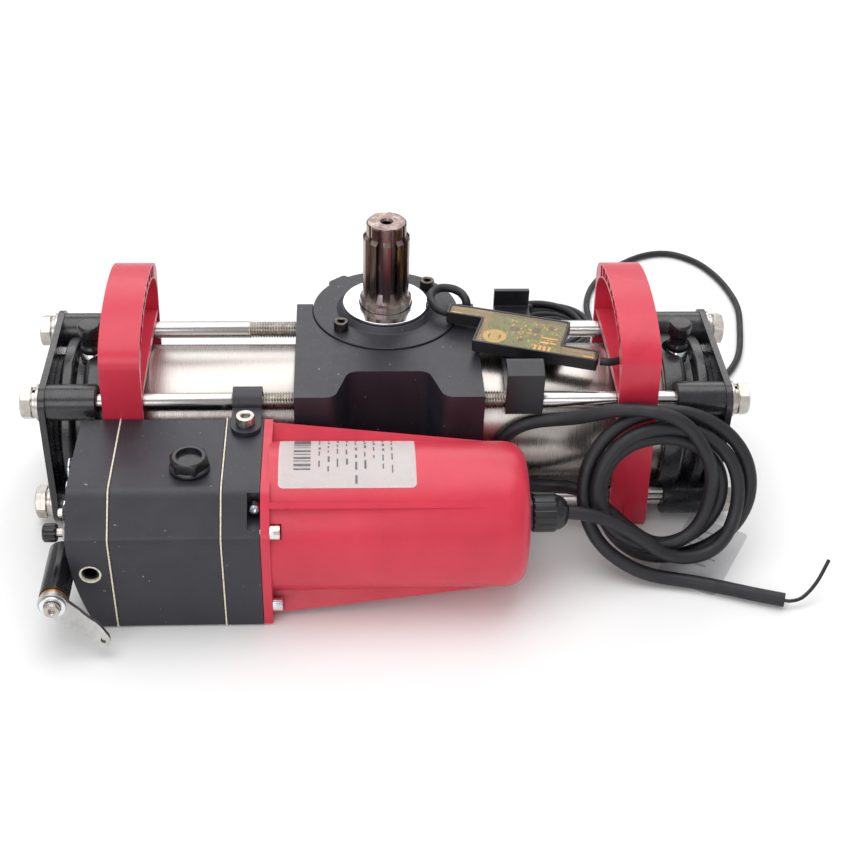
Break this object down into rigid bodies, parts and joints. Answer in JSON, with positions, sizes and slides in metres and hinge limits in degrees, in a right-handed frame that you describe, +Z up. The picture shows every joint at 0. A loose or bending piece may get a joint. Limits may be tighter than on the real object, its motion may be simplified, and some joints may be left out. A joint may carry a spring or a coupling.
{
  "type": "rack and pinion actuator",
  "caption": "Hydraulic rack-and-pinion swing actuator: splined output shaft, opposed cylinders with tie bolts, side power unit, release lever and cables.",
  "frame": {"origin": "on the output shaft's axis, at the gear housing's base face", "axes": "+X along the cylinders, +Z up along the output shaft, -Y towards the power unit"},
  "size_m": [0.4402, 0.4001, 0.146],
  "materials": {
    "case_black": "matte black anodised",
    "cast_black": "satin black painted casting",
    "bright_steel": "polished",
    "zinc": "bright zinc plate",
    "dark_steel": "dark burnished",
    "bronze": "plain bearing bronze",
    "winding": "copper winding",
    "red_plastic": "satin moulded red",
    "black_plastic": "moulded black",
    "cable_black": "black cable sheath",
    "gasket_cream": "pressed fibre"
  },
  "bodies": {
    "frame": {"bearing_cap": "case_black", "bleed_screw_left": "black_plastic", "bleed_screw_right": "black_plastic", "cap_screw_front": "bright_steel", "cap_screw_rear": "bright_steel", "carry_strap_left": "red_plastic", "carry_strap_right": "red_plastic", "cover_screw_1": "bright_steel", "cover_screw_2": "bright_steel", "cover_screw_3": "bright_steel", "cover_screw_4": "bright_steel", "cylinder_left": "bright_steel", "cylinder_right": "bright_steel", "encoder_cable": "cable_black", "encoder_coil": "cable_black", "end_head_left": "cast_black", "end_head_right": "cast_black", "filler_plug": "black_plastic", "gasket_left": "gasket_cream", "gasket_right": "gasket_cream", "gland_body": "black_plastic", "gland_nut": "black_plastic", "hanger_bracket": "cast_black", "hanger_screw": "bright_steel", "lever_boss": "cast_black", "lower_bush": "bronze", "motor_cable_coil": "cable_black", "motor_cable_end": "cable_black", "motor_cable_loop": "cable_black", "motor_cable_start": "cable_black", "motor_cover": "red_plastic", "motor_stator": "winding", "oil_tank": "case_black", "pinion_housing": "case_black", "pipe_right": "bright_steel", "pump_block": "case_black", "sensor_clip": "black_plastic", "sensor_lead": "cable_black", "sensor_tray": "black_plastic", "shaft_seal": "cable_black", "shaft_washer": "zinc", "tie_bolt_left_1": "bright_steel", "tie_bolt_left_2": "bright_steel", "tie_bolt_left_3": "bright_steel", "tie_bolt_left_4": "bright_steel", "tie_bolt_right_1": "bright_steel", "tie_bolt_right_2": "bright_steel", "tie_bolt_right_3": "bright_steel", "tie_bolt_right_4": "bright_steel", "upper_bush": "bronze", "valve_block": "case_black"},
    "output": {"output_shaft": "dark_steel", "drive_pinion": "bright_steel"},
    "rack": {"rack_bar": "bright_steel", "piston_left": "bright_steel", "piston_right": "bright_steel"},
    "lever": {"release_lever": "bright_steel", "lever_screw": "bright_steel"},
    "adjuster": {"adjuster": "black_plastic"},
    "rotor": {"motor_rotor": "bright_steel"}
  },
  "joints": [
    {"name": "output_turn", "type": "hinge", "parent": "frame", "child": "output", "pos_m": [0, 0, 0.0455], "axis": [0, 0, 1], "range_deg": [-59, 59]},
    {"name": "rack_slide", "type": "slide", "parent": "frame", "child": "rack", "axis": [1, 0, 0], "range_m": [-0.0279, 0.0279]},
    {"name": "release_turn", "type": "hinge", "parent": "frame", "child": "lever", "pos_m": [-0.1673, -0.1784, 0.0315], "axis": [0, -1, 0], "range_deg": [0, 90]},
    {"name": "adjuster_turn", "type": "hinge", "parent": "frame", "child": "adjuster", "pos_m": [-0.168, -0.1496, 0.053], "axis": [1, 0, 0], "range_deg": [-175, 175]},
    {"name": "rotor_spin", "type": "hinge", "parent": "frame", "child": "rotor", "pos_m": [0, -0.1248, 0.042], "axis": [1, 0, 0], "continuous": true}
  ],
  "couplings": [
    {"joint": "rack_slide", "follows": "output_turn", "m_per_rad": 0.027}
  ]
}
